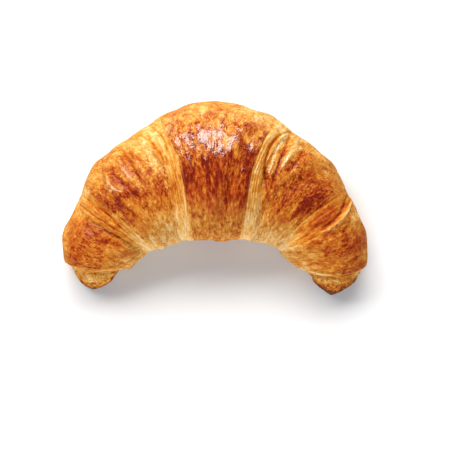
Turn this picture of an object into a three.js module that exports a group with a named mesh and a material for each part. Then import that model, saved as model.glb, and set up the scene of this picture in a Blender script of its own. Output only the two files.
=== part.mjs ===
// A baked butter croissant, lying on its flat underside.
//
// The dough is a long triangle, rolled up from its wide end and bent into a crescent. The last wrap is the
// crown in the middle. On each side of it a shoulder, an outer wrap and a thin tip come out from under one
// another, and each wrap ends in a rolled lip. Past each lip the cut edge of the dough shows as a band of
// thin layers, which steps down into a groove before the next wrap rises.
//
// The body is swept along a circle. A row of points goes once round the body. Its place is an angle along
// the bend, which may differ between the outer flank, the crest and the inner flank, and its size is a girth,
// the body's half width there. Sizes are in millimetres and angles in degrees from the crescent's middle.

import * as THREE from "three";

// The bend: the body's middle line is an arc of this radius, and strays from it a little: angle, shift.
const BEND_RADIUS = 56.4;
const MIDDLE_SHIFTS = [[0, 0.6], [12, 0.4], [22, -0.4], [44, 0.1], [60, -0.2], [70, 0.1], [83, -1.8], [95, -2.1]];

// The section, as shares of the girth: how far it rises above its widest level and sinks below it.
const RISE_ABOVE = 0.92;
const DEPTH_BELOW = 0.62;
const FLANK_POWER = 2.25;
const UNDERSIDE_POWER = 2.7;

// The underside is cut flat this far up, as the tray does, and less where the body is thinner than a girth.
const FLOOR_SINK = 0.9;
const FULL_SINK_GIRTH = 20;

// Relief is full from this girth up, and this share of it reaches the underside.
const FULL_RELIEF_GIRTH = 12;
const UNDERSIDE_RELIEF = 0.4;

// The rolled lip that ends a wrap: its cross-section turns through more than a right angle and tucks under.
const LIP_TURN = 120;
const LIP_ROWS = 5;
const LIP_REACH = { crown: 0.9, shoulder: 0.8, outer: 1.8 };

// The terraces of the cut edge: how high each thin layer stands over the next one, and where it drops.
const LAYER_HEIGHT = 0.42;
const LAYER_DROP = 0.45;
const LAYER_CREST = 1.6;

// A wrap rises out of its groove over this share of its length, and its rows stop short of its lip.
const GROOVE_SHARE = 0.14;
const ROWS_STOP = 0.94;
const ROW_CROWDING = 0.6;

const POINTS_ROUND = 42;
const ROWS = { crown: 8, crownBand: 8, shoulder: 17, shoulderBand: 6, outer: 10, outerBand: 2 };
const TIP_SHARES = [0, 0.22, 0.43, 0.62, 0.78, 0.9, 0.975];

// A line across the body as angles at the outer flank, over the crest and at the inner flank.
const SIDES = [
  {
    direction: -1,
    crownLip: [18.3, 15.3, 22.4],
    shoulderStart: [28.4, 21.5, 31.8],
    shoulderLip: [51.4, 51.0, 53.4],
    outerStart: [58.1, 58.6, 57.4],
    outerLip: [78.6, 78.4, 74.6],
    tipStart: [80.6, 80.0, 76.4],
    tipEnd: 88.4,
    girths: {
      crown: [31.8, 31.3, 29.2],
      crownBand: [27.8, 26.2],
      shoulder: [26.0, 25.9, 22.1],
      shoulderBand: [20.9, 19.4],
      outer: [18.8, 18.2, 15.5],
      outerBand: [11.7, 10.4],
      tip: 9.4,
    },
    grooves: { shoulder: 0.9, outer: 0.7 },
    layers: { crownBand: 4, shoulderBand: 3, outerBand: 1 },
    tipTaper: [2.2, 0.6],
  },
  {
    direction: 1,
    crownLip: [20.2, 17.0, 25.2],
    shoulderStart: [25.6, 21.8, 33.6],
    shoulderLip: [52.4, 50.2, 52.0],
    outerStart: [56.4, 60.0, 56.2],
    outerLip: [80.1, 81.0, 74.6],
    tipStart: [82.3, 82.2, 77.0],
    tipEnd: 91.2,
    girths: {
      crown: [31.8, 31.0, 29.3],
      crownBand: [27.8, 26.6],
      shoulder: [26.0, 24.6, 21.3],
      shoulderBand: [20.6, 20.0],
      outer: [20.3, 18.5, 15.2],
      outerBand: [11.9, 10.9],
      tip: 10.4,
    },
    grooves: { shoulder: 1.3, outer: 0.7 },
    layers: { crownBand: 3, shoulderBand: 3, outerBand: 1 },
    tipTaper: [2.0, 1.0],
  },
];

// Pleats in the crust: grooves and ridges across the body, from one share of the flank to another, where 1 is
// the outer flank, 0 the crest and -1 the inner flank. Angles are at the two ends and halfway between them.
const PLEATS = [
  { side: 1, from: 0.95, to: -0.1, angles: [25.8, 26.2, 27.8], width: 1.7, height: -1.6 },
  { side: 1, from: 0.8, to: 0.1, angles: [28.6, 31.6, 34.3], width: 1.7, height: -1.1 },
  { side: 1, from: 0.7, to: -0.3, angles: [62.6, 64.4, 64.0], width: 1.5, height: -0.7 },
  { side: -1, from: 0.78, to: 0.2, angles: [32.6, 32.6, 32.8], width: 1.5, height: -1.1 },
  { side: -1, from: 0.7, to: 0.24, angles: [41.7, 43.6, 42.2], width: 1.6, height: 1.0 },
  { side: -1, from: 0.68, to: 0.2, angles: [37.2, 36.4, 34.6], width: 1.5, height: 0.7 },
  { side: -1, from: 0.72, to: 0.28, angles: [39.2, 40.2, 39.6], width: 1.4, height: -0.8 },
  { side: -1, from: 0.6, to: -0.4, angles: [62.4, 63.6, 62.8], width: 1.5, height: -0.6 },
];
const PLEAT_FADE = 0.18;

// Slow swells that keep the wraps from being perfectly round: height, waves along and round, and phase.
const SWELLS = [
  { height: 0.38, along: 11, around: 2, phase: 0.7 },
  { height: 0.32, along: 17, around: 3, phase: 2.1 },
  { height: 0.22, along: 29, around: 5, phase: 4.4 },
  { height: 0.12, along: 43, around: 6, phase: 1.3 },
];

const radians = (degrees) => (degrees * Math.PI) / 180;
const mix = (a, b, share) => a + (b - a) * share;
const signedPower = (value, power) => Math.sign(value) * Math.abs(value) ** power;

function smoothstep(low, high, value) {
  const share = Math.min(1, Math.max(0, (value - low) / (high - low)));
  return share * share * (3 - 2 * share);
}

// The curve through three values at -1, 0 and 1, which are given from the outer flank inwards.
const acrossFlank = ([outer, crest, inner], flank) =>
  crest + ((outer - inner) / 2) * flank + ((outer + inner) / 2 - crest) * flank ** 2;

// The curve through three values at 0, one half and 1.
const throughThree = ([start, middle, end], share) =>
  start * (1 - share) * (1 - 2 * share) + 4 * middle * share * (1 - share) + end * share * (2 * share - 1);

// How far the middle line lies outside the bend's arc at an angle.
function middleShift(angle) {
  let shift = MIDDLE_SHIFTS[0][1];
  for (let i = 1; i < MIDDLE_SHIFTS.length; i += 1) {
    const [[startAngle, startShift], [endAngle, endShift]] = [MIDDLE_SHIFTS[i - 1], MIDDLE_SHIFTS[i]];
    shift += (endShift - startShift) * smoothstep(startAngle, endAngle, angle);
  }
  return shift;
}

// Rows from one line to another, a girth for each, and a shift in millimetres along the bend.
function rowsBetween(startLine, endLine, shares, girthAt) {
  return shares.map((share) => ({
    angleAt: (flank) => mix(acrossFlank(startLine, flank), acrossFlank(endLine, flank), share),
    shift: 0,
    girth: girthAt(share),
  }));
}

// Shares between 0 and the stop before the lip, drawn towards both ends, where a wrap starts and stops.
function crowdedShares(count) {
  return Array.from({ length: count - 1 }, (_, i) => {
    const share = (i + 1) / count;
    return ROWS_STOP * mix(share, (1 - Math.cos(Math.PI * share)) / 2, ROW_CROWDING);
  });
}

const evenShares = (count) => Array.from({ length: count }, (_, i) => (i + 1) / count);

// The lip at the end of a wrap, rolling from its top, over its nose, to the crease under it.
function lipRows(line, girth, reach) {
  return evenShares(LIP_ROWS).map((share) => {
    const turn = radians(LIP_TURN * share);
    return {
      angleAt: (flank) => acrossFlank(line, flank),
      shift: reach * (Math.sin(turn) - 1),
      girth: girth - reach * (1 - Math.cos(turn)),
    };
  });
}

// The cut edge's terraces: each layer swells a little, is nearly level and then drops to the next.
function bandGirth([start, end], layers) {
  return (share) => {
    const step = share * layers;
    const within = step - Math.floor(step);
    const level = (Math.min(step, layers) - within + smoothstep(LAYER_DROP, 1, within)) / layers;
    const swell = LAYER_HEIGHT * Math.sin(Math.PI * Math.min(1, within * LAYER_CREST)) * (1 - share);
    return mix(start, end, level) + swell;
  };
}

// A wrap's girth: a smooth belly that rises out of the groove it starts in.
const wrapGirth = (girths, groove) => (share) =>
  throughThree(girths, share) - groove * (1 - smoothstep(0, GROOVE_SHARE, share));

// The tip is a rounded cone, which the two powers make blunt or pointed.
const tipGirth = (girth, [fall, close]) => (share) => girth * (1 - share ** fall) ** close;

// All rows of one side, from beside the crescent's middle to the last row before the tip's end point.
function sideRows(side) {
  const { girths, grooves, layers } = side;
  const middleLine = [0, 0, 0];
  const tipEndLine = [side.tipEnd, side.tipEnd, side.tipEnd];
  const wrap = (name, from, to, groove) =>
    rowsBetween(from, to, crowdedShares(ROWS[name]), wrapGirth(girths[name], groove));
  const lip = (name, line) => lipRows(line, girths[name][2], LIP_REACH[name]);
  const band = (name, from, to) =>
    rowsBetween(from, to, evenShares(ROWS[name]), bandGirth(girths[name], layers[name]));
  const rows = [
    ...wrap("crown", middleLine, side.crownLip, 0),
    ...lip("crown", side.crownLip),
    ...band("crownBand", side.crownLip, side.shoulderStart),
    ...wrap("shoulder", side.shoulderStart, side.shoulderLip, grooves.shoulder),
    ...lip("shoulder", side.shoulderLip),
    ...band("shoulderBand", side.shoulderLip, side.outerStart),
    ...wrap("outer", side.outerStart, side.outerLip, grooves.outer),
    ...lip("outer", side.outerLip),
    ...band("outerBand", side.outerLip, side.tipStart),
    ...rowsBetween(side.tipStart, tipEndLine, TIP_SHARES, tipGirth(girths.tip, side.tipTaper)),
  ];
  return rows.map((row) => ({ ...row, direction: side.direction }));
}

// How much the pleats raise or sink the crust at an angle along one side and a share of the flank.
function pleatHeight(direction, angle, flank, distanceFromCentre) {
  let height = 0;
  for (const pleat of PLEATS.filter(({ side }) => side === direction)) {
    const share = (pleat.from - flank) / (pleat.from - pleat.to);
    const fade = smoothstep(-PLEAT_FADE, PLEAT_FADE, share) * smoothstep(-PLEAT_FADE, PLEAT_FADE, 1 - share);
    const away = radians(angle - throughThree(pleat.angles, share)) * distanceFromCentre;
    height += pleat.height * fade * Math.exp(-((away / pleat.width) ** 2));
  }
  return height;
}

const swellHeight = (signedAngle, around) =>
  SWELLS.reduce(
    (sum, swell) =>
      sum + swell.height * Math.sin(swell.along * radians(signedAngle) + swell.around * around + swell.phase),
    0,
  );

// One point of the crust, for a row and a direction round the section: 0 is the outer flank, 90 the crest.
function crustPoint(row, aroundDegrees) {
  const around = radians(aroundDegrees);
  const flank = signedPower(Math.cos(around), 2 / FLANK_POWER);
  const upper = Math.sin(around) >= 0;
  const vertical = signedPower(Math.sin(around), 2 / (upper ? FLANK_POWER : UNDERSIDE_POWER));
  const angle = row.angleAt(flank);
  const relief = Math.min(1, row.girth / FULL_RELIEF_GIRTH) * (upper ? 1 : UNDERSIDE_RELIEF);

  const middleRadius = BEND_RADIUS + middleShift(angle);
  const pleats = upper ? pleatHeight(row.direction, angle, flank, middleRadius + row.girth * flank) : 0;
  const girth = row.girth + relief * (swellHeight(angle * row.direction, around) + pleats);

  const radius = middleRadius + girth * flank;
  const bend = radians(angle) + row.shift / radius;
  const level = row.girth * DEPTH_BELOW - FLOOR_SINK * Math.min(1, row.girth / FULL_SINK_GIRTH);
  const height = level + girth * vertical * (upper ? RISE_ABOVE : DEPTH_BELOW);
  return new THREE.Vector3(row.direction * radius * Math.sin(bend), radius * Math.cos(bend), Math.max(0, height));
}

// The rows in order from the left tip, over the middle, to the right tip.
function allRows() {
  const [left, right] = SIDES.map(sideRows);
  const middleRow = { angleAt: () => 0, shift: 0, girth: SIDES[0].girths.crown[0], direction: 1 };
  return [...left.reverse(), middleRow, ...right];
}

// Two triangles for each step round, between two neighbouring rows of points.
function skinFaces(rowCount) {
  const faces = [];
  for (let row = 0; row + 1 < rowCount; row += 1) {
    for (let i = 0; i < POINTS_ROUND; i += 1) {
      const next = (i + 1) % POINTS_ROUND;
      const here = row * POINTS_ROUND;
      const beyond = here + POINTS_ROUND;
      faces.push(here + i, here + next, beyond + i);
      faces.push(here + next, beyond + next, beyond + i);
    }
  }
  return faces;
}

// The point that closes a tip, level with the middle of the tip's last row.
function tipPoint(side, lastRow) {
  const bend = radians(side.tipEnd) * side.direction;
  const radius = BEND_RADIUS + middleShift(side.tipEnd);
  const height = lastRow.reduce((sum, point) => sum + point.z, 0) / lastRow.length;
  return new THREE.Vector3(radius * Math.sin(bend), radius * Math.cos(bend), height);
}

// A closed skin: quads between neighbouring rows, and a fan from each tip's end point.
function crustGeometry() {
  const rows = allRows();
  const points = rows.flatMap((row) =>
    Array.from({ length: POINTS_ROUND }, (_, i) => crustPoint(row, (360 * i) / POINTS_ROUND)),
  );
  const faces = skinFaces(rows.length);
  for (const side of SIDES) {
    const first = side.direction > 0 ? (rows.length - 1) * POINTS_ROUND : 0;
    const end = points.length;
    points.push(tipPoint(side, points.slice(first, first + POINTS_ROUND)));
    for (let i = 0; i < POINTS_ROUND; i += 1) {
      const next = (i + 1) % POINTS_ROUND;
      const [start, stop] = side.direction > 0 ? [i, next] : [next, i];
      faces.push(first + start, first + stop, end);
    }
  }
  return new THREE.BufferGeometry().setFromPoints(points).setIndex(faces);
}

// The origin is on the floor, under the middle of the croissant's box.
function standOnOrigin(geometry) {
  geometry.computeBoundingBox();
  const middle = geometry.boundingBox.getCenter(new THREE.Vector3());
  geometry.translate(-middle.x, -middle.y, -geometry.boundingBox.min.z);
  geometry.computeVertexNormals();
  return geometry;
}

const crust = new THREE.MeshStandardMaterial({ color: 0xc9762b, roughness: 0.5, metalness: 0 });
const croissant = new THREE.Mesh(standOnOrigin(crustGeometry()), crust);
croissant.name = "croissant";

const part = new THREE.Group();
part.add(croissant);

export default part;
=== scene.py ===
"""A baked butter croissant, seen from straight above.

The crust is one closed skin. A table of rows, each going once round the rolled dough, is laid out here in
millimetres, and a Geometry Nodes tree bends it into the crescent and raises its pleats, streaks and blisters.
How brown each place is baked travels with the skin, and the crust's material turns it into colour.
"""

import math

import bmesh
import bpy
import numpy as np
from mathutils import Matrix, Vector


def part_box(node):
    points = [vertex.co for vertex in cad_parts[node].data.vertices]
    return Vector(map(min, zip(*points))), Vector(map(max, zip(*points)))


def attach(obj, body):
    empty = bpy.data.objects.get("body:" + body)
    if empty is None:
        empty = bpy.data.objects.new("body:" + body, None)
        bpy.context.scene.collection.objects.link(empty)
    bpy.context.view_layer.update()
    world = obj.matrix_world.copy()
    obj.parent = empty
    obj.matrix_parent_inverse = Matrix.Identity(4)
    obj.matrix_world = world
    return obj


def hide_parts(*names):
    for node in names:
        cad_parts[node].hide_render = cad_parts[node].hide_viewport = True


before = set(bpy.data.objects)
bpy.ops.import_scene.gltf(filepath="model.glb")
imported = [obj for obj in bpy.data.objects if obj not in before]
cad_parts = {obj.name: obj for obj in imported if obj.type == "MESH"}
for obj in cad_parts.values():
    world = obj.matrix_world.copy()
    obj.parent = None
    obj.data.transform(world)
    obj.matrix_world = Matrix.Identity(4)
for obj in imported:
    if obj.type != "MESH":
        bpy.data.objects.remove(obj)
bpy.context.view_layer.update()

MM = 0.001
SEED = 7.0

# The photograph's frame: its side in pixels, a pixel's size on the crust, the croissant's middle in it, and
# how far above the crust's widest level the camera is.
PHOTO_SIDE_PX = 450
PIXEL = 0.46 * MM
CROISSANT_MIDDLE_PX = (215.0, 199.0)
WIDEST_LEVEL = 18 * MM
CAMERA_DISTANCE = 0.9
SENSOR_WIDTH = 36.0
FARTHEST_SEEN = 10

# The bend: the body's middle line is an arc of this radius, and strays outwards from it a little. Each pair
# is an angle, below 0 on the left side, and a shift.
BEND_RADIUS = 56.4
MIDDLE_SHIFTS = [
    (-95, -1.4), (-84, -1.1), (-80, 0.0), (-70, 0.3), (-60, -0.2), (-44, -0.3), (-32, -1.0), (-22, -0.9),
    (-13, 0.1), (0, 0.0), (10, -0.2), (17, -0.2), (26, 0.3), (36, -0.4), (47, 0.3), (62, -0.8), (72, 0.1),
    (80, -0.3), (84, -1.0), (92, -1.2),
]

# The section, as shares of the girth, and how far up the flat underside cuts it. Thin places sink less and
# have less relief, and the tip frays more towards its end.
RISE_ABOVE = 0.92
DEPTH_BELOW = 0.62
FLANK_POWER = 2.25
UNDERSIDE_POWER = 2.7
FLOOR_SINK = 0.9
FULL_SINK_GIRTH = 20
FULL_RELIEF_GIRTH = 12
FULL_FRAY_GIRTH = 5
TIP_FRAY_START = 0.3
UNDERSIDE_RELIEF = 0.4

# The rolled lips and the thin layers of the cut edge.
LIP_TURN = 90
LIP_REACH = {"crown": 0.55, "shoulder": 0.5, "outer": 1.1}
LAYER_HEIGHT = 0.24
LAYER_DROP = 0.2
LAYER_CREST = 1.6
LAYER_WANDER = 0.3
LAYER_WAVES = [(2, 0.4), (3, 1.9), (5, 4.2)]
GROOVE_SHARE = 0.14

# Where the steps between wraps have sunk together: how far along, between which flanks, and how much of that
# the inner flank has. The outer wrap gets firm towards its lip.
SETTLED_REACH = 2.6
SETTLED_STEP = 0.25
SETTLED_TAILS = 3
SETTLED_FLANKS = (0.45, 0.95)
INNER_SETTLING = 0.6
FIRM_END = (0.5, 0.85)

# How the rows of points are spread.
ROWS_STOP = 0.94
ROW_CROWDING = 0.35
TIP_CROWDING = 1.5
POINTS_ABOVE = 112
POINTS_BELOW = 42
ROWS = {
    "crown": 60,
    "crown_band": 34,
    "shoulder": 78,
    "shoulder_band": 26,
    "outer": 52,
    "outer_band": 8,
    "lip": 10,
    "tip": 26,
}

# Each line across the body is given as angles at the outer flank, over the crest and at the inner flank.
# Girths are half widths in millimetres: a wrap's at its start, middle and end, a cut edge's at its start and
# end, and the tip's at its base. The tip's taper is two powers, and it leans outwards by some millimetres.
SIDES = [
    {
        "direction": -1,
        "crown_lip": (18.3, 15.3, 22.4),
        "shoulder_start": (28.4, 21.5, 31.8),
        "shoulder_lip": (51.4, 51.0, 53.4),
        "outer_start": (58.1, 58.6, 57.4),
        "outer_lip": (78.6, 78.4, 74.6),
        "tip_start": (80.6, 80.0, 76.4),
        "tip_end": 88.4,
        "girths": {
            "crown": (31.8, 31.3, 29.2),
            "crown_band": (28.4, 26.4),
            "shoulder": (26.0, 26.0, 22.6),
            "shoulder_band": (21.4, 19.8),
            "outer": (19.0, 18.6, 15.3),
            "outer_band": (12.1, 11.0),
            "tip": 10.4,
        },
        "grooves": {"shoulder": 0.5, "outer": 0.15},
        "layers": {"crown_band": 5, "shoulder_band": 4, "outer_band": 1},
        "tip_taper": (1.7, 0.72),
        "tip_lean": 1.5,
    },
    {
        "direction": 1,
        "crown_lip": (20.2, 17.0, 25.2),
        "shoulder_start": (25.6, 21.8, 33.6),
        "shoulder_lip": (52.4, 50.2, 52.0),
        "outer_start": (56.4, 60.0, 56.2),
        "outer_lip": (80.1, 81.0, 74.6),
        "tip_start": (82.3, 82.2, 77.0),
        "tip_end": 91.2,
        "girths": {
            "crown": (31.8, 31.0, 29.3),
            "crown_band": (28.5, 26.8),
            "shoulder": (26.0, 24.6, 21.3),
            "shoulder_band": (20.8, 20.5),
            "outer": (20.8, 18.8, 15.1),
            "outer_band": (12.6, 12.0),
            "tip": 11.4,
        },
        "grooves": {"shoulder": 0.7, "outer": 0.2},
        "layers": {"crown_band": 4, "shoulder_band": 4, "outer_band": 1},
        "tip_taper": (1.9, 0.95),
        "tip_lean": -0.8,
    },
]

# Pleats: side, the flank where one starts and ends, its angles at the start, halfway and at the end, and its
# width and height in millimetres. A height below 0 makes a groove.
PLEATS = [
    (1, 0.98, -0.16, (25.0, 20.3, 26.7), 0.7, -1.0),
    (1, 0.95, 0.0, (21.4, 18.2, 19.4), 0.9, 0.6),
    (1, 0.95, -0.05, (25.3, 25.9, 27.6), 0.7, -0.9),
    (1, 0.9, 0.0, (23.6, 23.2, 25.2), 1.3, 0.7),
    (1, 0.97, 0.28, (27.8, 28.4, 27.8), 1.1, 0.7),
    (1, 0.8, 0.3, (31.4, 31.6, 30.4), 0.7, -0.6),
    (1, 0.92, 0.03, (56.0, 59.4, 59.8), 0.65, 1.2),
    (1, 0.88, 0.1, (53.8, 57.4, 58.0), 0.7, -0.8),
    (1, 0.7, 0.45, (61.8, 63.0, 64.0), 0.6, -0.6),
    (-1, 0.78, 0.2, (32.6, 32.6, 32.8), 0.7, -0.9),
    (-1, 0.72, 0.24, (41.7, 43.8, 42.0), 0.55, 0.95),
    (-1, 0.8, 0.24, (34.9, 36.3, 35.4), 0.9, 0.6),
    (-1, 0.72, 0.28, (39.2, 40.0, 39.2), 1.1, -0.6),
    (-1, 0.6, -0.4, (62.4, 63.6, 62.8), 1.0, -0.4),
    (-1, 0.97, 0.2, (21.0, 17.9, 21.4), 0.4, -0.55),
    (-1, 0.97, 0.1, (23.4, 19.4, 23.6), 0.5, 0.5),
    (-1, 0.95, -0.1, (25.6, 20.9, 26.0), 0.4, -0.5),
    (-1, 0.95, -0.2, (53.4, 53.0, 54.4), 0.4, -0.5),
    (-1, 0.95, -0.3, (54.8, 54.8, 55.4), 0.45, 0.5),
    (-1, 0.95, -0.1, (56.4, 56.6, 56.4), 0.4, -0.5),
]
PLEAT_FADE = 0.18

# Slow swells: height, waves along and round the body, and phase.
SWELLS = [(0.38, 11, 2, 0.7), (0.32, 17, 3, 2.1), (0.22, 29, 5, 4.4), (0.12, 43, 6, 1.3)]


# Arithmetic through a node tree


class Wire:
    """A value that runs through a node tree, so that a formula can be written as one."""

    def __init__(self, tree, socket):
        self.tree = tree
        self.socket = socket

    def __add__(self, other):
        return reckon(self.tree, "ADD", self, other)

    __radd__ = __add__

    def __sub__(self, other):
        return reckon(self.tree, "SUBTRACT", self, other)

    def __rsub__(self, other):
        return reckon(self.tree, "SUBTRACT", other, self)

    def __mul__(self, other):
        return reckon(self.tree, "MULTIPLY", self, other)

    __rmul__ = __mul__

    def __truediv__(self, other):
        return reckon(self.tree, "DIVIDE", self, other)

    def __pow__(self, other):
        return reckon(self.tree, "POWER", self, other)


def feed(tree, value, socket):
    """Links a wire to a socket, or sets the socket to a plain value."""
    if isinstance(value, Wire):
        tree.links.new(value.socket, socket)
    else:
        socket.default_value = value


def reckon(tree, operation, *values):
    """The result of one math node."""
    node = tree.nodes.new("ShaderNodeMath")
    node.operation = operation
    for value, socket in zip(values, node.inputs):
        feed(tree, value, socket)
    return Wire(tree, node.outputs[0])


def sine(angle):
    return reckon(angle.tree, "SINE", angle)


def cosine(angle):
    return reckon(angle.tree, "COSINE", angle)


def lesser(value, limit):
    return reckon(value.tree, "MINIMUM", value, limit)


def greater(value, limit):
    return reckon(value.tree, "MAXIMUM", value, limit)


def absolute(value):
    return reckon(value.tree, "ABSOLUTE", value)


def bell(distance):
    """1 where the distance is 0, fading to nothing at about 2."""
    return reckon(distance.tree, "EXPONENT", distance * distance * -1)


def signed_power(value, power):
    return reckon(value.tree, "SIGN", value) * absolute(value) ** power


def smooth(value, low, high, start=0.0, end=1.0):
    """Runs softly from start to end while the value goes from low to high."""
    node = value.tree.nodes.new("ShaderNodeMapRange")
    node.interpolation_type = "SMOOTHSTEP"
    for number, socket in zip((value, low, high, start, end), node.inputs):
        feed(value.tree, number, socket)
    return Wire(value.tree, node.outputs[0])


def between(start, end, share):
    return start + (end - start) * share


def added(total, *parts):
    """The total with each value, times its weight, added to it in turn."""
    for value, weight in parts:
        total = total + value * weight
    return total


def stretched(place, scales):
    node = place.tree.nodes.new("ShaderNodeVectorMath")
    node.operation = "MULTIPLY"
    feed(place.tree, place, node.inputs[0])
    node.inputs[1].default_value = scales
    return Wire(place.tree, node.outputs[0])


def noise(place, settings, seed=0.0):
    """Smooth noise from about -1 to 1, from settings that are explained above each table of them."""
    stretch, waves_per_mm, detail, roughness, own_seed, distortion = settings
    node = place.tree.nodes.new("ShaderNodeTexNoise")
    node.noise_dimensions = "4D"
    feed(place.tree, stretched(place, stretch), node.inputs["Vector"])
    feed(place.tree, seed + own_seed, node.inputs["W"])
    node.inputs["Scale"].default_value = waves_per_mm
    node.inputs["Detail"].default_value = detail
    node.inputs["Roughness"].default_value = roughness
    node.inputs["Distortion"].default_value = distortion
    return (Wire(place.tree, node.outputs[0]) - 0.5) * 2.0


def cells(place, cells_per_mm, kind="SMOOTH_F1"):
    """How far the nearest of many scattered points is, or how far the line halfway between two of them."""
    node = place.tree.nodes.new("ShaderNodeTexVoronoi")
    node.feature = kind
    feed(place.tree, place, node.inputs["Vector"])
    node.inputs["Scale"].default_value = cells_per_mm
    return Wire(place.tree, node.outputs["Distance"])


def warped(place, waves_per_mm, amount):
    """The place, pushed about by smooth noise, so that a pattern's lines meander."""
    tree = place.tree
    push = tree.nodes.new("ShaderNodeTexNoise")
    feed(tree, place, push.inputs["Vector"])
    push.inputs["Scale"].default_value = waves_per_mm
    shift = tree.nodes.new("ShaderNodeVectorMath")
    shift.operation = "MULTIPLY_ADD"
    tree.links.new(push.outputs["Color"], shift.inputs[0])
    shift.inputs[1].default_value = (amount,) * 3
    feed(tree, place, shift.inputs[2])
    return Wire(tree, shift.outputs[0])


def joined(tree, x, y, z):
    node = tree.nodes.new("ShaderNodeCombineXYZ")
    for value, socket in zip((x, y, z), node.inputs):
        feed(tree, value, socket)
    return Wire(tree, node.outputs[0])


# The rows of the roll


def step(low, high, value):
    """Runs softly from 0 to 1 while the value goes from low to high."""
    share = np.clip((value - low) / (high - low), 0, 1)
    return share * share * (3 - 2 * share)


def through_three(values, share):
    """The curve through three values at 0, one half and 1; numbers, arrays and wires all do."""
    start, middle, end = values
    rest = (share * -1) + 1
    return rest * (share * -2 + 1) * start + rest * share * (4 * middle) + share * (share * 2 - 1) * end


def crowded(count):
    """Shares from a wrap's start to just short of its lip, closer together at both ends."""
    shares = [(index + 1) / count for index in range(count - 1)]
    return [
        ROWS_STOP * (share + ROW_CROWDING * ((1 - math.cos(math.pi * share)) / 2 - share))
        for share in shares
    ]


def even(count):
    return [(index + 1) / count for index in range(count)]


def row(line, girth, kind, share=0.0, shift=0.0, layer=0.5, edge=0.0, lean=0.0):
    """One row; a band's girth and layer are arrays, a value for each point round it."""
    return {
        "line": np.array(line, float),
        "girth": girth,
        "kind": kind,
        "share": share,
        "shift": shift,
        "layer": layer,
        "edge": edge,
        "lean": lean,
    }


def wrap_rows(side, kind, start, end):
    """A wrap: a smooth belly that rises out of the groove it starts in."""
    groove = side["grooves"].get(kind, 0)
    start, end = np.array(start, float), np.array(end, float)
    return [
        row(
            start + (end - start) * share,
            through_three(side["girths"][kind], share) - groove * (1 - step(0, GROOVE_SHARE, share)),
            kind,
            share,
        )
        for share in crowded(ROWS[kind])
    ]


def lip_rows(side, kind, line):
    """The lip at the end of a wrap, rolling from its top, over its nose, to the crease under it."""
    girth, reach = side["girths"][kind][2], LIP_REACH[kind]
    rows = []
    for share in even(ROWS["lip"]):
        turn = math.radians(LIP_TURN * share)
        shift = reach * (math.sin(turn) - 1)
        rows.append(row(line, girth - reach * (1 - math.cos(turn)), kind, 1.0, shift, edge=share))
    return rows


def band_rows(side, kind, start, end):
    """The cut edge: each thin layer swells a little, is nearly level and then drops to the next.

    The layers wander across the band, so each point of a row takes its own share of it.
    """
    first, last = side["girths"][kind]
    layers = side["layers"][kind]
    start, end = np.array(start, float), np.array(end, float)
    around = directions_round()
    rows = []
    for share in even(ROWS[kind]):
        wander = sum(
            np.sin(waves * around + phase + side["direction"] + share * 2) / waves
            for waves, phase in LAYER_WAVES
        )
        wandered = np.clip(share + LAYER_WANDER * math.sin(math.pi * share) * wander, 0, 1)
        within = wandered * layers % 1.0
        done = wandered * layers - within
        level = (done + step(LAYER_DROP, 1, within)) / layers
        crest = np.sin(np.pi * np.minimum(1, within * LAYER_CREST))
        girth = first + (last - first) * level + LAYER_HEIGHT * crest * (1 - share)
        rows.append(row(start + (end - start) * share, girth, kind, share, layer=crest))
    return rows


def tip_rows(side):
    """The tip: a rounded cone, which the two powers make blunt or pointed."""
    fall, close = side["tip_taper"]
    girth, lean = side["girths"]["tip"], side["tip_lean"]
    start, end = np.array(side["tip_start"], float), np.full(3, float(side["tip_end"]))
    shares = [0.0] + [1 - (1 - share) ** TIP_CROWDING for share in even(ROWS["tip"])]
    return [
        row(
            start + (end - start) * share,
            girth * (1 - share**fall) ** close,
            "tip",
            share,
            lean=lean * share**2,
        )
        for share in shares
    ]


def side_rows(side):
    rows = [
        *wrap_rows(side, "crown", (0, 0, 0), side["crown_lip"]),
        *lip_rows(side, "crown", side["crown_lip"]),
        *band_rows(side, "crown_band", side["crown_lip"], side["shoulder_start"]),
        *wrap_rows(side, "shoulder", side["shoulder_start"], side["shoulder_lip"]),
        *lip_rows(side, "shoulder", side["shoulder_lip"]),
        *band_rows(side, "shoulder_band", side["shoulder_lip"], side["outer_start"]),
        *wrap_rows(side, "outer", side["outer_start"], side["outer_lip"]),
        *lip_rows(side, "outer", side["outer_lip"]),
        *band_rows(side, "outer_band", side["outer_lip"], side["tip_start"]),
        *tip_rows(side),
    ]
    return [dict(entry, direction=side["direction"]) for entry in rows]


def all_rows():
    left, right = (side_rows(side) for side in SIDES)
    middle = dict(row((0, 0, 0), SIDES[0]["girths"]["crown"][0], "crown"), direction=1)
    return left[::-1] + [middle] + right


def directions_round():
    """Angles round the section, closer together above, where the crust shows: 0 is the outer flank."""
    above = np.linspace(0, math.pi, POINTS_ABOVE, endpoint=False)
    below = np.linspace(math.pi, 2 * math.pi, POINTS_BELOW, endpoint=False)
    return np.concatenate([above, below])


# How brown each place is baked, from 0, pale dough, to 1, burnt, and how much glaze it has


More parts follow.
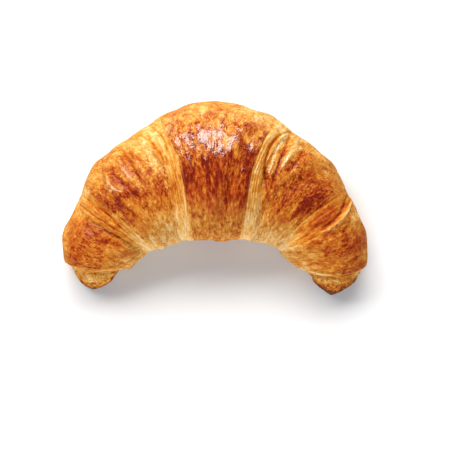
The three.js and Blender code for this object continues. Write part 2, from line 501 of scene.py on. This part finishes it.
# Across the body, from -1 at the inner flank to 1 at the outer flank: place and bake, then place and glaze.
BAKED_ACROSS = {
    "crown": [
        (-1.0, 0.38), (-0.92, 0.42), (-0.84, 0.5), (-0.5, 0.54), (-0.36, 0.66), (-0.24, 0.73), (-0.1, 0.77),
        (0.1, 0.73), (0.28, 0.58), (0.42, 0.5), (0.65, 0.44), (0.78, 0.38), (1.0, 0.3),
    ],
    "shoulder": [
        (-1.0, 0.08), (-0.85, 0.22), (-0.6, 0.38), (-0.3, 0.48), (-0.1, 0.6), (0.25, 0.62), (0.55, 0.52),
        (0.85, 0.4), (1.0, 0.32),
    ],
    "outer": [(-1.0, 0.2), (-0.8, 0.32), (-0.3, 0.44), (0.1, 0.55), (0.7, 0.56), (0.9, 0.44), (1.0, 0.36)],
    "band": [(-1.0, 0.0), (-0.6, 0.14), (-0.1, 0.38), (0.4, 0.4), (0.8, 0.28), (1.0, 0.24)],
}
GLAZED_ACROSS = {
    "crown": [(-1.0, 0.05), (-0.4, 0.12), (-0.05, 1.0), (0.68, 1.0), (0.85, 0.5), (1.0, 0.15)],
    "shoulder": [
        (-1.0, 0.05), (-0.5, 0.1), (-0.1, 0.7), (0.1, 1.0), (0.5, 0.8), (0.7, 0.4), (1.0, 0.15),
    ],
    "outer": [(-1.0, 0.05), (-0.4, 0.1), (0.0, 0.7), (0.4, 0.7), (0.65, 0.3), (1.0, 0.1)],
}

# The share of the glaze on bare places, such as the cut edges, and how far down a lip they start.
BARE_GLAZE = 0.25
BARE_LIP = 0.5

# How the bake changes at the layers, at a lip, where a wrap starts and at the crown's edge, and where the
# inner foot and the underside begin.
LAYER_CONTRAST = 0.08
LIP_EDGE = (0.4, 0.7)
LIP_EDGE_BAKE = 0.34
WRAP_START = 0.12
CROWN_EDGE = (0.7, 0.95)
CROWN_EDGE_BAKE = 0.14
CROWN_EDGE_ACROSS = [(-0.5, 0), (-0.1, 1), (0.3, 1), (0.6, 0)]
FOOT_EDGE = (0.05, 0.55)
UNDERSIDE_EDGE = (0.35, 0.95)
UNDERSIDE_BAKE = 0.46

# The tip: the bake of its base, then how much browner its end and its sides are, each with a power.
TIP_BAKE = 0.2
TIP_END_BAKE = (0.66, 1.8)
TIP_SIDE_BAKE = (0.5, 0.6)
TIP_SIDE_POWER = 3

# The tongues across the body: width and length in millimetres, seed and weight. Then how far they reach, how
# much they change a spot, and how far out from the inner flank the glaze has them.
TONGUES = [(1.3, 7.0, 3, 1.0), (3.1, 9.0, 4, 0.6)]
TONGUE_LENGTH = 0.19
TONGUE_CONTRAST = 0.5
GLAZE_TONGUES_END = 0.3
LATTICE_SIZE = (512, 128)

# Places that are darker or paler than their wrap: angle, millimetres outside the middle line, reach in
# degrees and in millimetres, and how much browner. Most are the crust's own browning. One is painted shade
# on the right shoulder band, and one is painted light on the right crown band.
BAKE_AND_PAINTED_LIGHT_SPOTS = [
    (13, 6, 3.4, 8, 0.14),
    (-1, 0, 6, 4, 0.06),
    (-15, 9, 3, 6, -0.06),
    (-10, 8, 5, 4, -0.12),
    (-29, 11, 6, 13, -0.22),
    (-22, 21, 3, 6, -0.16),
    (-38, 3, 2.4, 3.6, 0.16),
    (-47, 4, 2.4, 3, 0.18),
    (-50, 8, 2.4, 9, 0.16),
    (28.6, 12, 3.4, 11, -0.24),
    (23.5, 25, 3.4, 6, -0.18),
    (14, 28, 8, 5, -0.1),
    (62, 13, 3, 5, -0.12),
    (36, 10, 4, 5, 0.14),
    (41, 13, 3, 5, 0.1),
    (46, 6, 4, 11, 0.17),
    # Painted shade: the right shoulder band, which lies in shade, darkened as if baked browner.
    (54.5, 3, 3, 14, 0.34),
    (56, -8, 3, 6, 0.2),
    (68, -10, 8, 6, 0.07),
    (40, 5, 9, 12, 0.03),
    (-68, -10, 8, 6, 0.12),
    (-56, -8, 3, 6, 0.18),
    (-38, -17, 8, 6, -0.07),
    (40, -8, 8, 5, 0.05),
    (67, 12, 8, 8, 0.04),
    (88, -2, 5, 14, 0.12),
    (-21, -8, 3, 6, 0.12),
    (-21, 6, 3, 7, -0.17),
    # Painted light: the right crown band, which lies in shade, paled as if baked less.
    (20, 5, 3, 9, -0.14),
    (-55, 4, 3, 10, 0.08),
    (-72, 12, 4, 5, 0.08),
    (-85, 0, 5, 10, -0.12),
    (72, 11, 6, 6, 0.12),
]


def lattice(across, along, width, length, seed):
    """Smooth random values from -1 to 1 in patches of a given width and length."""
    values = np.random.default_rng(seed).uniform(-1, 1, LATTICE_SIZE)
    place_along = along / width + LATTICE_SIZE[0] / 2
    place_across = across / length + LATTICE_SIZE[1] / 2
    left, low = np.floor(place_along).astype(int), np.floor(place_across).astype(int)
    to_right, upwards = step(0, 1, place_along - left), step(0, 1, place_across - low)
    near = values[left, low] * (1 - upwards) + values[left, low + 1] * upwards
    far = values[left + 1, low] * (1 - upwards) + values[left + 1, low + 1] * upwards
    return near * (1 - to_right) + far * to_right


def tongued(angles, offsets):
    """The long tongues across the body where the bake or the glaze ends, as values on both sides of 0."""
    along = np.radians(angles) * BEND_RADIUS
    return sum(
        weight * lattice(offsets, along, width, length, seed) for width, length, seed, weight in TONGUES
    )


def run_across(stops, places):
    """The value at each place across the body, from stops of place and value."""
    return np.interp(places, *zip(*stops))


def spot(angles, offsets, angle, offset, reach, breadth):
    """1 in the middle of an oval place on the crust, fading to nothing round it."""
    away = ((angles - angle) / reach) ** 2 + ((offsets - offset) / breadth) ** 2
    return np.exp(-away)


def tip_bake(flanks, share):
    """The tip's bake: pale at its base, dark at its end and along its sides."""
    end_more, end_power = TIP_END_BAKE
    side_more, side_power = TIP_SIDE_BAKE
    sides = np.abs(flanks) ** TIP_SIDE_POWER
    return TIP_BAKE + end_more * share**end_power + side_more * sides * share**side_power


def baked(rows, angles, flanks, offsets, tongues, under):
    """The bake of every point, from its wrap's own run across the body, its layer and the spots, two of which
    are painted shade and painted light.
    """
    moved = np.clip(flanks + TONGUE_LENGTH * tongues, -1, 1)
    crown_top = run_across(CROWN_EDGE_ACROSS, flanks)
    bake = np.zeros_like(angles)
    for index, here in enumerate(rows):
        kind = "band" if here["kind"].endswith("band") else here["kind"]
        if kind == "tip":
            bake[index] = tip_bake(flanks, here["share"])
            continue
        bake[index] = run_across(BAKED_ACROSS[kind], moved[index])
        if kind == "crown":
            bake[index] += CROWN_EDGE_BAKE * step(*CROWN_EDGE, here["share"]) * crown_top
        if kind in ("shoulder", "outer"):
            pale = run_across(BAKED_ACROSS["band"], moved[index])
            bake[index] = pale + (bake[index] - pale) * step(0, WRAP_START, here["share"])
        if kind == "band":
            bake[index] -= LAYER_CONTRAST * (here["layer"] - 0.5)
        if here["edge"] > LIP_EDGE[0]:
            bake[index] = bake[index] + (LIP_EDGE_BAKE - bake[index]) * step(*LIP_EDGE, here["edge"])
    bake = settled(rows, bake, angles, flanks)
    for *where, amount in BAKE_AND_PAINTED_LIGHT_SPOTS:
        bake += amount * spot(angles, offsets, *where) * (1 + TONGUE_CONTRAST * tongues)
    bake += (UNDERSIDE_BAKE - bake) * under
    return np.clip(bake, 0, 1)


# Places that took less glaze: angle, millimetres outside the middle line, reach in degrees and in
# millimetres, and how much less.
DULL_SPOTS = [(-28, 12, 6, 13, 0.5), (25, 14, 4.5, 12, 0.2), (66, 2, 5, 6, 0.3)]


def glazed(rows, angles, flanks, offsets, tongues, under):
    """The egg glaze: full on top, little on the cut edges and the inner flank, none below."""
    moved = np.clip(flanks + TONGUE_LENGTH * tongues * (flanks < GLAZE_TONGUES_END), -1, 1)
    glaze = np.zeros_like(angles)
    for index, here in enumerate(rows):
        bare = here["kind"] not in GLAZED_ACROSS or here["edge"] > BARE_LIP
        across = GLAZED_ACROSS.get(here["kind"], GLAZED_ACROSS["outer"])
        glaze[index] = run_across(across, moved[index]) * (BARE_GLAZE if bare else 1.0)
    for *where, amount in DULL_SPOTS:
        glaze *= 1 - amount * spot(angles, offsets, *where)
    return glaze * (1 - under)


# The skin


def skin_faces(row_count, point_count):
    """Quads between neighbouring rows; the first and last row are drawn together into a point each."""
    faces = []
    for start in range(0, (row_count - 1) * point_count, point_count):
        beyond = start + point_count
        for index in range(point_count):
            after = (index + 1) % point_count
            faces.append((start + index, start + after, beyond + after, beyond + index))
    return faces


def looseness(entry):
    """How much a row may settle: fully up to the middle of the outer wrap, not at all from its lip on."""
    if entry["kind"] in ("outer_band", "tip"):
        return 0.0
    if entry["kind"] == "outer":
        return 1 - step(*FIRM_END, entry["share"])
    return 1.0


def settled(rows, values, angles, flanks, inner_share=1.0):
    """Smooths the steps between wraps away towards both flanks, where the dough has sunk together."""
    loose = np.array([looseness(entry) for entry in rows])
    even_angles = np.arange(angles.min(), angles.max(), SETTLED_STEP)
    reach = int(SETTLED_TAILS * SETTLED_REACH / SETTLED_STEP)
    weights = np.exp(-np.linspace(-SETTLED_TAILS, SETTLED_TAILS, 2 * reach + 1) ** 2)
    weights /= weights.sum()
    result = values.copy()
    for point, flank in enumerate(flanks):
        share = step(*SETTLED_FLANKS, abs(flank)) * (inner_share if flank < 0 else 1.0)
        if share > 0:
            run = np.interp(even_angles, angles[:, point], values[:, point])
            smoothed = np.convolve(np.pad(run, reach, "edge"), weights, "valid")
            calm = np.interp(angles[:, point], even_angles, smoothed)
            result[:, point] += share * loose * (calm - values[:, point])
    return result


def skin_values(rows, around):
    """Everything that the points carry: a value for each row and each point round it, under its name."""
    count = len(around)

    def each(value_of):
        return np.repeat([[float(value_of(entry))] for entry in rows], count, 1)

    flanks = np.sign(np.cos(around)) * np.abs(np.cos(around)) ** (2 / FLANK_POWER)
    outer, crest, inner = (each(lambda entry: entry["line"][part]) for part in range(3))
    direction = each(lambda entry: entry["direction"])
    band = each(lambda entry: entry["kind"].endswith("band"))
    frayed = each(lambda entry: TIP_FRAY_START + (1 - TIP_FRAY_START) * entry["share"])
    angles = (crest + (outer - inner) / 2 * flanks + ((outer + inner) / 2 - crest) * flanks**2) * direction
    girths = np.array([np.broadcast_to(entry["girth"], count) for entry in rows])
    girths = settled(rows, girths, angles, flanks, INNER_SETTLING)
    under = step(*UNDERSIDE_EDGE, -np.sin(around))
    offsets = flanks * girths
    tongues = tongued(angles, offsets)
    return {
        "line_outer": outer,
        "line_crest": crest,
        "line_inner": inner,
        "girth": girths,
        "shift": each(lambda entry: entry["shift"]),
        "lean": each(lambda entry: entry["lean"]),
        "direction": direction,
        "around": np.tile(around, (len(rows), 1)),
        "crown": each(lambda entry: entry["kind"] == "crown"),
        "band": band,
        "tip": frayed * each(lambda entry: entry["kind"] == "tip"),
        "foot": step(*FOOT_EDGE, -flanks) * (1 - band),
        "bake": baked(rows, angles, flanks, offsets, tongues, under),
        "glaze": glazed(rows, angles, flanks, offsets, tongues, under),
    }


def flat_roll():
    """The rows as a mesh that has no shape yet, with everything about each row on its points."""
    rows, around = all_rows(), directions_round()
    mesh = bpy.data.meshes.new("roll")
    mesh.from_pydata([(0, 0, 0)] * (len(rows) * len(around)), [], skin_faces(len(rows), len(around)))
    for name, values in skin_values(rows, around).items():
        attribute = mesh.attributes.new(name, "FLOAT", "POINT")
        attribute.data.foreach_set("value", np.asarray(values, np.float32).ravel())
    roll = bpy.data.objects.new("roll", mesh)
    bpy.context.scene.collection.objects.link(roll)
    return roll


def read(tree, name):
    """The value that the points carry under a name."""
    node = tree.nodes.new("GeometryNodeInputNamedAttribute")
    node.data_type = "FLOAT"
    node.inputs["Name"].default_value = name
    return Wire(tree, node.outputs[0])


def keep(tree, geometry, name, value, kind="FLOAT"):
    """Stores a value on the points under a name and returns the geometry that has it."""
    node = tree.nodes.new("GeometryNodeStoreNamedAttribute")
    node.data_type = kind
    node.domain = "POINT"
    tree.links.new(geometry, node.inputs["Geometry"])
    node.inputs["Name"].default_value = name
    feed(tree, value, node.inputs["Value"])
    return node.outputs[0]


def pleat_relief(direction, angle, flank, distance):
    """The sum of all pleats: each is a soft groove or ridge along its own line across the body."""
    tree = angle.tree
    total = None
    for side, start, end, angles, width, height in PLEATS:
        share = (start - flank) / (start - end)
        fade = smooth(share, -PLEAT_FADE, PLEAT_FADE) * smooth(1 - share, -PLEAT_FADE, PLEAT_FADE)
        away = (angle - through_three(angles, share)) * distance * math.radians(1)
        on_side = reckon(tree, "COMPARE", direction, float(side), 0.5)
        pleat = bell(away / width) * fade * on_side * height
        total = pleat if total is None else total + pleat
    return total


def swell_relief(signed_angle, around):
    """The sum of all slow swells."""
    total = None
    for height, along, round_waves, phase in SWELLS:
        swell = sine(signed_angle * math.radians(along) + around * round_waves + phase) * height
        total = swell if total is None else total + swell
    return total


def middle_shift(angle):
    """How far the middle line lies outside the bend's arc at an angle."""
    shift = MIDDLE_SHIFTS[0][1]
    for (start, before), (end, after) in zip(MIDDLE_SHIFTS, MIDDLE_SHIFTS[1:]):
        shift = smooth(angle, start, end) * (after - before) + shift
    return shift


# The skin's noises: stretch along, across and up, waves for each millimetre, detail, roughness, how far its
# seed is past the tree's, and distortion.
SKIN_NOISES = {
    "streak": ((1, 0.16, 0.16), 0.55, 3, 0.55, 0, 0.0),
    "wrinkle": ((1, 0.6, 0.6), 0.22, 4, 0.55, 3, 0.6),
    "fine": ((1, 1, 1), 0.8, 2, 0.5, 5, 0.0),
    "waver": ((1, 1, 1), 0.14, 2, 0.5, 9, 0.0),
    "fray": ((0.3, 1, 1), 0.45, 3, 0.6, 12, 0.0),
}
BLISTERS_PER_MM = 0.33

# A point belongs to the upper side down to this sine of its angle round the section.
UPPER_FROM = -1e-6


def roll_tree(crust, sizes):
    """The tree that bends the rows into the crescent and raises the crust's relief."""
    tree = bpy.data.node_groups.new("bent roll", "GeometryNodeTree")
    tree.interface.new_socket("Geometry", in_out="INPUT", socket_type="NodeSocketGeometry")
    tree.interface.new_socket("Geometry", in_out="OUTPUT", socket_type="NodeSocketGeometry")
    for name, value in sizes.items():
        socket = tree.interface.new_socket(name, in_out="INPUT", socket_type="NodeSocketFloat")
        socket.default_value = value
    source = tree.nodes.new("NodeGroupInput")
    size = {name: Wire(tree, source.outputs[name]) for name in sizes}

    girth, around, direction = read(tree, "girth"), read(tree, "around"), read(tree, "direction")
    outer, crest, inner = read(tree, "line_outer"), read(tree, "line_crest"), read(tree, "line_inner")
    crown, band, glaze = read(tree, "crown"), read(tree, "band"), read(tree, "glaze")

    flank = signed_power(cosine(around), 2 / FLANK_POWER)
    upper = reckon(tree, "GREATER_THAN", sine(around), UPPER_FROM)
    lift = signed_power(sine(around), between(2 / UNDERSIDE_POWER, 2 / FLANK_POWER, upper))
    angle = crest + (outer - inner) * 0.5 * flank + ((outer + inner) * 0.5 - crest) * flank * flank
    middle = middle_shift(angle * direction) + size["Bend radius"] + read(tree, "lean")

    along = crest * direction * math.radians(1) * size["Bend radius"]
    place = joined(tree, along, girth * flank, girth * lift)
    noises = {name: noise(place, settings, size["Seed"]) for name, settings in SKIN_NOISES.items()}
    blister = cells(place, BLISTERS_PER_MM)

    relief = noises["streak"] * size["Streak height"] * glaze * between(0.6, 1.0, crown)
    relief = relief + noises["wrinkle"] * size["Wrinkle height"] * (1 - band * 0.6)
    relief = relief - blister * size["Blister height"] * glaze * (1 - crown * 0.7)
    relief = relief + noises["fine"] * size["Grain height"]
    fullness = lesser(girth / FULL_RELIEF_GIRTH, 1.0)
    pleats = pleat_relief(direction, angle, flank, middle + girth * flank) * upper
    swell = swell_relief(angle * direction, around) + relief
    fray = noises["fray"] * size["Fray height"] * read(tree, "tip") * lesser(girth / FULL_FRAY_GIRTH, 1.0)
    raised = girth + (swell * between(UNDERSIDE_RELIEF, 1.0, upper) + pleats) * fullness + fray

    radius = middle + raised * flank
    slide = read(tree, "shift") + noises["waver"] * size["Lip waver"] * fullness
    bend = (angle * math.radians(1) + slide / radius) * direction
    level = girth * DEPTH_BELOW - lesser(girth / FULL_SINK_GIRTH, 1.0) * FLOOR_SINK
    height = greater(level + raised * lift * between(DEPTH_BELOW, size["Rise above"], upper), 0.0)
    position = joined(tree, radius * sine(bend) * MM, radius * cosine(bend) * MM, height * MM)

    geometry = keep(tree, source.outputs["Geometry"], "place", place, "FLOAT_VECTOR")
    geometry = keep(tree, geometry, "fold", pleats)
    move = tree.nodes.new("GeometryNodeSetPosition")
    tree.links.new(geometry, move.inputs["Geometry"])
    tree.links.new(position.socket, move.inputs["Position"])
    whole = tree.nodes.new("GeometryNodeRealizeInstances")
    tree.links.new(move.outputs[0], whole.inputs[0])
    coat = tree.nodes.new("GeometryNodeSetMaterial")
    tree.links.new(whole.outputs[0], coat.inputs["Geometry"])
    coat.inputs["Material"].default_value = crust
    sink = tree.nodes.new("NodeGroupOutput")
    tree.links.new(coat.outputs[0], sink.inputs[0])
    return tree


WELD_DISTANCE = 1e-7
SHORTEST_EDGE = 1e-8


def made_plain(rough, tree, sizes, name):
    """Runs the tree on an object and returns the result as a plain mesh object."""
    modifier = rough.modifiers.new("shape", "NODES")
    modifier.node_group = tree
    for socket in tree.interface.items_tree:
        if socket.in_out == "INPUT" and socket.name in sizes:
            modifier[socket.identifier] = sizes[socket.name]
    graph = bpy.context.evaluated_depsgraph_get()
    mesh = bpy.data.meshes.new_from_object(
        rough.evaluated_get(graph), preserve_all_data_layers=True, depsgraph=graph
    )
    mesh.name = name
    bpy.data.objects.remove(rough)
    piece = bpy.data.objects.new(name, mesh)
    bpy.context.scene.collection.objects.link(piece)
    return piece


def weld(mesh):
    """Draws the doubled points at the two tips together."""
    work = bmesh.new()
    work.from_mesh(mesh)
    bmesh.ops.remove_doubles(work, verts=work.verts, dist=WELD_DISTANCE)
    bmesh.ops.dissolve_degenerate(work, edges=work.edges, dist=SHORTEST_EDGE)
    work.to_mesh(mesh)
    work.free()


def stand_on(piece, node):
    """Moves the mesh, not the object, so that it stands where the solid stands."""
    low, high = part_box(node)
    points = np.zeros(len(piece.data.vertices) * 3, np.float32)
    piece.data.vertices.foreach_get("co", points)
    points = points.reshape(-1, 3)
    middle = (points.min(0) + points.max(0)) / 2
    points[:, 0] += (low.x + high.x) / 2 - middle[0]
    points[:, 1] += (low.y + high.y) / 2 - middle[1]
    points[:, 2] += low.z - points[:, 2].min()
    piece.data.vertices.foreach_set("co", points.ravel())
    piece.data.update()


# The tree's named inputs: lengths in millimetres, a share of the girth and the seed.
ROLL_SIZES = {
    "Bend radius": BEND_RADIUS,
    "Rise above": RISE_ABOVE,
    "Streak height": 0.45,
    "Wrinkle height": 0.4,
    "Blister height": 0.4,
    "Grain height": 0.07,
    "Fray height": 1.6,
    "Lip waver": 0.5,
    "Seed": SEED,
}


def make_croissant():
    piece = made_plain(flat_roll(), roll_tree(crust_material(), ROLL_SIZES), ROLL_SIZES, "crust")
    weld(piece.data)
    for polygon in piece.data.polygons:
        polygon.use_smooth = True
    stand_on(piece, "croissant")
    return piece


# The finish


# A charred tip's colour and the bake it starts at, and the dull tan of the inner foot and its share.
CHARRED = (0.1, 0.035, 0.012, 1)
CHARRED_FROM = 0.45
FOOT_TAN = (0.62, 0.45, 0.3, 1)
FOOT_TAN_SHARE = 0.03

# The crust's colour for each bake.
CRUST_COLOURS = [
    (0.0, (0.72, 0.51, 0.25)),
    (0.15, (0.66, 0.37, 0.11)),
    (0.3, (0.57, 0.255, 0.042)),
    (0.45, (0.48, 0.168, 0.019)),
    (0.6, (0.4, 0.094, 0.01)),
    (0.75, (0.31, 0.044, 0.006)),
    (0.88, (0.225, 0.022, 0.004)),
    (1.0, (0.14, 0.01, 0.003)),
]

# The crust's noises: stretch along, across and up, waves for each millimetre, detail, roughness, seed and
# distortion.
CRUST_NOISES = {
    "flame": ((1, 0.3, 0.3), 0.24, 3, 0.5, 19.0, 0.3),
    "strand": ((1, 0.28, 0.28), 0.55, 3, 0.55, 11.0, 0.5),
    "patch": ((1, 0.5, 0.5), 0.5, 4, 0.6, 31.0, 0.5),
    "blotch": ((1, 1, 1), 0.26, 4, 0.55, 13.0, 0.6),
    "speckle": ((1, 1, 1), 0.85, 3, 0.65, 17.0, 0.0),
    "cloud": ((1, 0.7, 0.7), 0.4, 2, 0.5, 29.0, 0.8),
    "ply": ((1, 0.14, 0.14), 1.3, 3, 0.55, 23.0, 0.8),
    "furrow": ((0.25, 1, 1), 0.8, 3, 0.55, 37.0, 0.3),
    "crack": ((1, 0.38, 0.38), 0.6, 3, 0.55, 41.0, 0.35),
    "crease": ((1, 0.3, 0.3), 0.5, 3, 0.55, 43.0, 0.35),
    "net": ((1, 0.75, 0.75), 0.5, 2, 0.5, 47.0, 1.0),
}
LINE_CORE = 0.02

# Small blisters, and seams that meander: stretch, how many for each millimetre, and the meanders' waves for
# each millimetre and reach.
SMALL_BLISTER_STRETCH = (1, 0.6, 0.6)
SMALL_BLISTERS_PER_MM = 0.42
SEAM_STRETCH = (1, 0.45, 0.45)
SEAMS_PER_MM = 0.5
MEANDERS_PER_MM = 0.5
MEANDER_REACH = 3.2

# The dry crust and the coat of glaze on it.
DRY_ROUGHNESS = 0.82
DRY_SPECULAR = 0.06
GLAZE_ROUGHNESS = 0.1
GLAZE_IOR = 1.7


def blend(share, first, second):
    """A colour between two, which may be wires or plain colours."""
    node = share.tree.nodes.new("ShaderNodeMix")
    node.data_type = "RGBA"
    feed(share.tree, share, node.inputs["Factor"])
    sockets = [socket for socket in node.inputs if socket.type == "RGBA"]
    for value, socket in zip((first, second), sockets):
        feed(share.tree, value, socket)
    return Wire(share.tree, next(socket for socket in node.outputs if socket.type == "RGBA"))


def shader_attribute(tree, name, output="Fac"):
    node = tree.nodes.new("ShaderNodeAttribute")
    node.attribute_name = name
    return Wire(tree, node.outputs[output])


def ramp(value, stops):
    """The colour for a value, from stops of value and colour."""
    node = value.tree.nodes.new("ShaderNodeValToRGB")
    feed(value.tree, value, node.inputs[0])
    elements = node.color_ramp.elements
    while len(elements) < len(stops):
        elements.new(0.5)
    for element, (position, colour) in zip(elements, stops):
        element.position = position
        element.color = (*colour, 1)
    return Wire(value.tree, node.outputs[0])


def bump(relief, normal):
    """Raises the surface by a relief in millimetres, as seen by one layer of the shader."""
    node = relief.tree.nodes.new("ShaderNodeBump")
    node.inputs["Strength"].default_value = 1.0
    node.inputs["Distance"].default_value = MM
    feed(relief.tree, relief, node.inputs["Height"])
    relief.tree.links.new(node.outputs[0], normal)


def swing(value, reach):
    """Spreads a noise that mostly stays within a reach over the whole run from -1 to 1."""
    return smooth(value, -reach, reach, -1.0, 1.0)


def thin_lines(value, width):
    """1 along the lines where a value is 0, gone at the width."""
    return smooth(value, LINE_CORE, width, 1.0, 0.0)


def crust_material():
    """The baked crust: patterns brown it here and there, painted shade darkens the pleats' grooves and
    painted light pales their ridges, and the glaze lies on it as a coat.
    """
    material = bpy.data.materials.new("baked crust")
    material.use_nodes = True
    tree = material.node_tree
    shader = tree.nodes["Principled BSDF"]
    place = shader_attribute(tree, "place", "Vector")
    bake, glaze, fold = (shader_attribute(tree, name) for name in ("bake", "glaze", "fold"))
    crown, band, tip = (shader_attribute(tree, name) for name in ("crown", "band", "tip"))
    foot = shader_attribute(tree, "foot") * (1 - glaze) * (1 - tip)

    noises = {name: noise(place, settings) for name, settings in CRUST_NOISES.items()}
    flame, strand, patch = noises["flame"], noises["strand"], noises["patch"]
    blotch, speckle = noises["blotch"], noises["speckle"]
    blister = cells(stretched(place, SMALL_BLISTER_STRETCH), SMALL_BLISTERS_PER_MM)
    meandering = warped(stretched(place, SEAM_STRETCH), MEANDERS_PER_MM, MEANDER_REACH)
    seam = cells(meandering, SEAMS_PER_MM, "DISTANCE_TO_EDGE")

    strands = swing(strand, 0.36) * between(0.25, 1.0, crown) * (1 - band)
    patches = swing(patch, 0.4) * (1 - band * 0.4)
    clouds = swing(noises["cloud"], 0.3) * between(1.0, 0.4, glaze)
    plies = swing(noises["ply"], 0.3) * band
    furrows = smooth(noises["furrow"], -0.25, 0.1, 1.0, -0.5) * tip
    cracks = thin_lines(absolute(noises["crack"]), 0.11) * (1 - band)
    creases = thin_lines(absolute(noises["crease"]), 0.1) * (1 - band * 0.5)
    nets = thin_lines(absolute(noises["net"]), 0.12) * (1 - crown) * (1 - band * 0.5)
    seams = thin_lines(seam, 0.14) * smooth(blotch, -0.2, 0.2) * (1 - band * 0.6)
    # The pleats' relief: its grooves take painted shade and its ridges painted light, and the ridges also
    # take more glaze.
    grooves, ridges = greater(fold * -1, 0.0), greater(fold, 0.0)

    depth = added(
        bake,
        (strands, glaze * 0.12 + foot * 0.06 + 0.05),
        (patches, glaze * 0.12 + 0.05),
        (plies, 0.11),
        (flame, 0.34 - glaze * 0.1 - foot * 0.1),
        (blotch, 0.14),
        (speckle, 0.3 - foot * 0.14),
        (clouds, foot * 0.1 + 0.06),
        (cracks, glaze * 0.15 + 0.05),
        (creases, glaze * -0.1 - 0.05),
        (furrows, 0.24),
        (seams, glaze * between(0.26, 0.14, crown) + 0.08),
        (blister - 0.4, glaze * 0.1),
        # painted shade in the pleats' grooves, painted light on their ridges
        (grooves, 0.42),
        (ridges, -0.2),
        (0.12 - nets, 0.11),
    )
    brown = blend(foot * foot * FOOT_TAN_SHARE, ramp(depth, CRUST_COLOURS), FOOT_TAN)
    charred = smooth(depth, CHARRED_FROM, 1.0) * lesser(tip * 2.0, 1.0)
    feed(tree, blend(charred, brown, CHARRED), shader.inputs["Base Color"])

    rough = added(DRY_ROUGHNESS - glaze * 0.35, (speckle, 0.08), (blotch, 0.06))
    feed(tree, rough, shader.inputs["Roughness"])
    wet = glaze * glaze * smooth(patch + strand, -0.22, 0.14, 0.12, 1.0) * between(0.5, 1.0, crown)
    feed(tree, lesser(wet + ridges * glaze * 1.6, 1.0), shader.inputs["Coat Weight"])
    shader.inputs["Coat Roughness"].default_value = GLAZE_ROUGHNESS
    shader.inputs["Coat IOR"].default_value = GLAZE_IOR
    shader.inputs["Specular IOR Level"].default_value = DRY_SPECULAR

    glossy_relief = added(
        strand * between(0.12, 0.13, crown),
        (blotch, 0.26),
        (patch, between(0.16, 0.1, crown)),
        (flame, between(0.2, 0.7, crown)),
        (speckle, between(0.11, 0.01, crown)),
        (nets, 0.03),
        (blister, glaze * -0.12 - 0.06),
        (cracks, -0.02),
    )
    bump(glossy_relief, shader.inputs["Coat Normal"])
    relief = added(
        glossy_relief,
        (cracks, -0.09),
        (seams, -0.09),
        (creases, 0.07),
        (speckle, 0.08),
        (plies, 0.04),
        (furrows, -0.35),
    )
    bump(relief, shader.inputs["Normal"])
    return material


# The floor, the light and the camera


def make_camera():
    data = bpy.data.cameras.new("camera")
    data.sensor_width = SENSOR_WIDTH
    data.lens = SENSOR_WIDTH * CAMERA_DISTANCE / (PHOTO_SIDE_PX * PIXEL)
    data.clip_end = FARTHEST_SEEN
    camera = bpy.data.objects.new("camera", data)
    bpy.context.scene.collection.objects.link(camera)
    middle_x, middle_y = CROISSANT_MIDDLE_PX
    centre = PHOTO_SIDE_PX / 2
    across, down = (centre - middle_x) * PIXEL, (middle_y - centre) * PIXEL
    camera.location = (across, down, CAMERA_DISTANCE + WIDEST_LEVEL)
    bpy.context.scene.camera = camera


FLOOR_SIDE = 4.0
FLOOR_COLOUR = (0.77, 0.81, 0.88, 1)
FLOOR_ROUGHNESS = 0.9


def floor_material():
    material = bpy.data.materials.new("plain floor")
    material.use_nodes = True
    shader = material.node_tree.nodes["Principled BSDF"]
    shader.inputs["Base Color"].default_value = FLOOR_COLOUR
    shader.inputs["Roughness"].default_value = FLOOR_ROUGHNESS
    shader.inputs["Specular IOR Level"].default_value = 0.0
    return material


def make_floor():
    half = FLOOR_SIDE / 2
    corners = [(-half, -half, 0), (half, -half, 0), (half, half, 0), (-half, half, 0)]
    mesh = bpy.data.meshes.new("floor")
    mesh.from_pydata(corners, [], [(0, 1, 2, 3)])
    mesh.materials.append(floor_material())
    floor = bpy.data.objects.new("floor", mesh)
    bpy.context.scene.collection.objects.link(floor)


# Flat lights: name, place, width, height, watts, colour, and whether the glaze mirrors the light. One that
# it doesn't mirror brightens the crust but shows in no gloss.
LIGHTS = [
    ("softbox", (-0.17, 0.66, 0.68), 1.3, 0.5, 22.4, (1, 0.935, 0.84), True),
    ("front reflector", (-0.05, -0.9, 0.34), 1.9, 0.5, 14.0, (1, 0.98, 0.94), False),
]
LIGHT_TARGET = Vector((0, 0, 0.02))
ROOM_BRIGHTNESS = 0.09


def panel(name, place, width, height, watts, colour, mirrored):
    data = bpy.data.lights.new(name, "AREA")
    data.shape = "RECTANGLE"
    data.size, data.size_y = width, height
    data.energy = watts
    data.color = colour
    light = bpy.data.objects.new(name, data)
    bpy.context.scene.collection.objects.link(light)
    light.visible_glossy = mirrored
    light.location = place
    light.rotation_euler = (LIGHT_TARGET - light.location).to_track_quat("-Z", "Y").to_euler()


def make_light():
    for light in LIGHTS:
        panel(*light)
    world = bpy.data.worlds.new("dim room")
    world.use_nodes = True
    background = world.node_tree.nodes["Background"]
    background.inputs["Color"].default_value = (1, 1, 1, 1)
    background.inputs["Strength"].default_value = ROOM_BRIGHTNESS
    world.cycles_visibility.glossy = False
    bpy.context.scene.world = world
    bpy.context.scene.view_settings.view_transform = "Standard"


make_camera()
make_floor()
make_light()

croissant = make_croissant()
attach(croissant, "root")
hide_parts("croissant")
